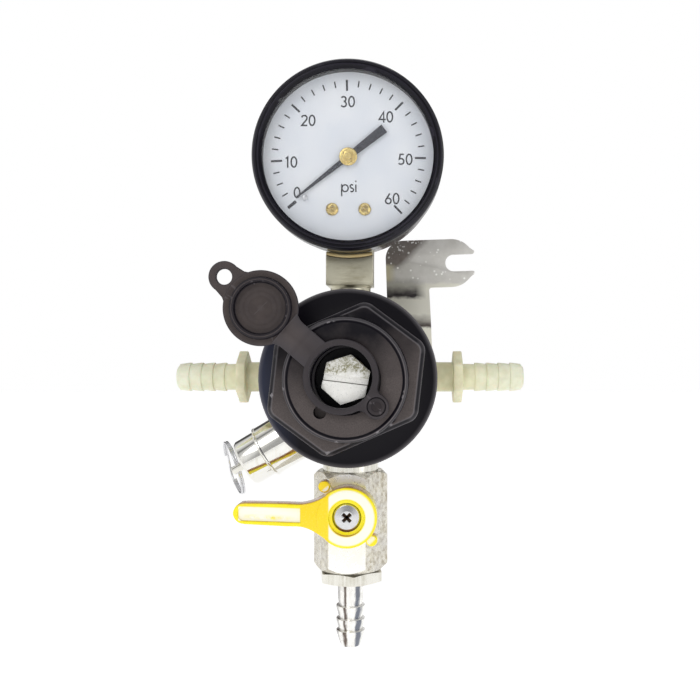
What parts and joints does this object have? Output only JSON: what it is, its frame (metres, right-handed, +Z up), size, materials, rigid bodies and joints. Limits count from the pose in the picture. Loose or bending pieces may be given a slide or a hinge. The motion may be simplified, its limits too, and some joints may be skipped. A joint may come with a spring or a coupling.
{
  "type": "carbon dioxide regulator",
  "caption": "Low-pressure gas regulator for draught drinks with adjusting screw and dust cap, dial gauge, hose tails, relief valve, lever ball valve and wall bracket.",
  "frame": {"origin": "centre of the wall slot's seat, on the plane of the wall", "axes": "+Z up along the gauge and the shut-off valve, +Y into the wall, +X towards the open end of the wall slot"},
  "size_m": [0.107, 0.0532, 0.1773],
  "materials": {
    "chrome": "polished chrome plate over brass",
    "brass": "turned brass",
    "bronze": "phosphor bronze",
    "nickel": "bright nickel plate",
    "socket_nickel": "pale nickel plate",
    "steel": "plain steel",
    "spring_steel": "drawn spring wire",
    "bracket_steel": "satin nickel plate",
    "bonnet_plastic": "fine satin moulding",
    "rubber": "moulded rubber",
    "seal_rubber": "seal rubber",
    "gauge_black": "gloss black paint",
    "lens": "clear",
    "dial_white": "satin white paint",
    "pin_pale": "plain",
    "pointer_dark": "dark slate paint",
    "ivory_plastic": "moulded acetal",
    "yellow_plastic": "glossy moulding",
    "white_plastic": "turned seal plastic"
  },
  "bodies": {
    "regulator": {"body_casting": "chrome", "rear_plug": "brass", "plug_o_ring": "seal_rubber", "seat_nozzle": "brass", "poppet_spring": "spring_steel", "diaphragm": "seal_rubber", "slip_ring": "brass", "main_spring": "spring_steel", "bonnet": "bonnet_plastic", "screw_nut": "brass", "tether_ring": "rubber", "tether_peg": "rubber", "gauge_socket": "socket_nickel", "gauge_case": "gauge_black", "gauge_bezel": "gauge_black", "gauge_lens": "lens", "lens_gasket": "seal_rubber", "gauge_dial": "dial_white", "dial_screws": "brass", "zero_stop_pin": "pin_pale", "bourdon_tube": "bronze", "tube_tip": "brass", "movement_frame": "brass", "hairspring": "bronze", "barb_left": "ivory_plastic", "barb_right": "ivory_plastic", "relief_body": "chrome", "relief_cap": "chrome", "relief_spring": "spring_steel", "valve_body": "nickel", "valve_end_barb": "nickel", "valve_gasket": "white_plastic", "ball_seats": "white_plastic", "stem_packing": "white_plastic", "wall_bracket": "bracket_steel", "bracket_screws": "steel"},
    "diaphragm_plate": {"diaphragm_plate": "steel"},
    "poppet": {"poppet": "brass", "poppet_seal": "seal_rubber"},
    "spring_button": {"spring_button": "brass"},
    "adjusting_screw": {"adjusting_screw": "steel"},
    "tether_cap": {"tether_cap": "rubber"},
    "sector": {"sector_gear": "brass"},
    "pointer": {"pointer": "pointer_dark", "pointer_hub": "brass", "pinion_shaft": "brass"},
    "gauge_link": {"gauge_link": "brass"},
    "relief_stem": {"relief_stem": "nickel", "relief_seal": "seal_rubber"},
    "pull_ring": {"pull_ring": "steel"},
    "lever": {"lever_handle": "yellow_plastic", "handle_screw": "steel", "valve_stem": "brass", "valve_ball": "nickel"}
  },
  "joints": [
    {"name": "adjust_travel", "type": "slide", "parent": "regulator", "child": "spring_button", "axis": [0, 1, 0], "range_m": [0, 0.00317], "deforming": ["main_spring"]},
    {"name": "adjust_turn", "type": "hinge", "parent": "spring_button", "child": "adjusting_screw", "pos_m": [-0.0333, -0.042, -0.0374], "axis": [0, 1, 0], "range_deg": [0, 1080.5]},
    {"name": "diaphragm_travel", "type": "slide", "parent": "regulator", "child": "diaphragm_plate", "axis": [0, 1, 0], "range_m": [0, 0.0008], "stiffness_N_per_m": 500, "deforming": ["diaphragm"]},
    {"name": "poppet_lift", "type": "slide", "parent": "regulator", "child": "poppet", "axis": [0, 1, 0], "range_m": [0, 0.0008], "deforming": ["poppet_spring"]},
    {"name": "cap_fold", "type": "hinge", "parent": "regulator", "child": "tether_cap", "pos_m": [-0.04555, -0.05175, -0.02691], "axis": [0.6521, 0, 0.7581], "range_deg": [0, 178]},
    {"name": "sector_swing", "type": "hinge", "parent": "regulator", "child": "sector", "pos_m": [-0.0333, -0.0288, 0.01085], "axis": [0, -1, 0], "range_deg": [0, 44.17]},
    {"name": "pointer_turn", "type": "hinge", "parent": "regulator", "child": "pointer", "pos_m": [-0.0333, -0.0288, 0.0284], "axis": [0, 1, 0], "range_deg": [0, 265.01]},
    {"name": "link_turn", "type": "hinge", "parent": "sector", "child": "gauge_link", "pos_m": [-0.02947, -0.0288, 0.00764], "axis": [0, 1, 0], "range_deg": [0, 44.2]},
    {"name": "relief_lift", "type": "slide", "parent": "regulator", "child": "relief_stem", "axis": [-0.8572, 0, -0.515], "range_m": [0, 0.0025], "stiffness_N_per_m": 400, "springref_m": -0.002, "deforming": ["relief_spring"]},
    {"name": "ring_swing", "type": "hinge", "parent": "relief_stem", "child": "pull_ring", "pos_m": [-0.06827, -0.022, -0.06581], "axis": [-0.515, 0, 0.8572], "range_deg": [-8, 140]},
    {"name": "lever_turn", "type": "hinge", "parent": "regulator", "child": "lever", "pos_m": [-0.0333, -0.037, -0.0774], "axis": [0, -1, 0], "range_deg": [0, 90]}
  ],
  "couplings": [
    {"joint": "adjust_turn", "follows": "adjust_travel", "rad_per_m": 5938.7},
    {"joint": "poppet_lift", "follows": "diaphragm_travel", "ratio": 1},
    {"joint": "pointer_turn", "follows": "sector_swing", "ratio": 6},
    {"joint": "link_turn", "follows": "sector_swing", "ratio": 1}
  ]
}
